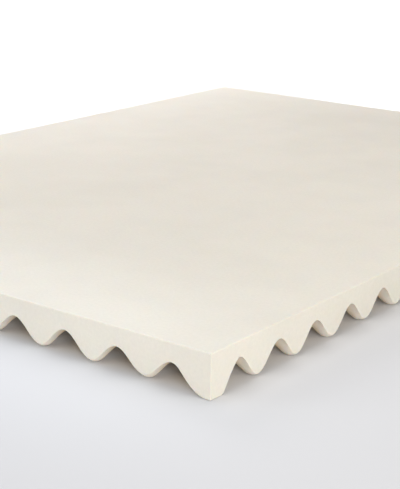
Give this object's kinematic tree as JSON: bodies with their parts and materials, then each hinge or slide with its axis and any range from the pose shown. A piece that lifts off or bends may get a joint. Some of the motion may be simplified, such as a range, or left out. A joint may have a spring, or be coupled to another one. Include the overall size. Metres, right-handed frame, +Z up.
{
  "type": "convoluted foam mattress topper",
  "caption": "Rectangular sheet of thick cream foam, flat on top and on its cut sides, with rounded egg-crate lobes and hollows underneath.",
  "frame": {"origin": "middle of the rectangle, on the plane that the feet of the lobes rest on", "axes": "+Y along the long sides, +X along the short sides, +Z up through the flat sleeping face"},
  "size_m": [1.372, 1.905, 0.0762],
  "materials": {
    "cream_foam": "matte open-cell foam with fine pores, no cover"
  },
  "bodies": {
    "root": {"foam_topper": "cream_foam"}
  },
  "joints": []
}
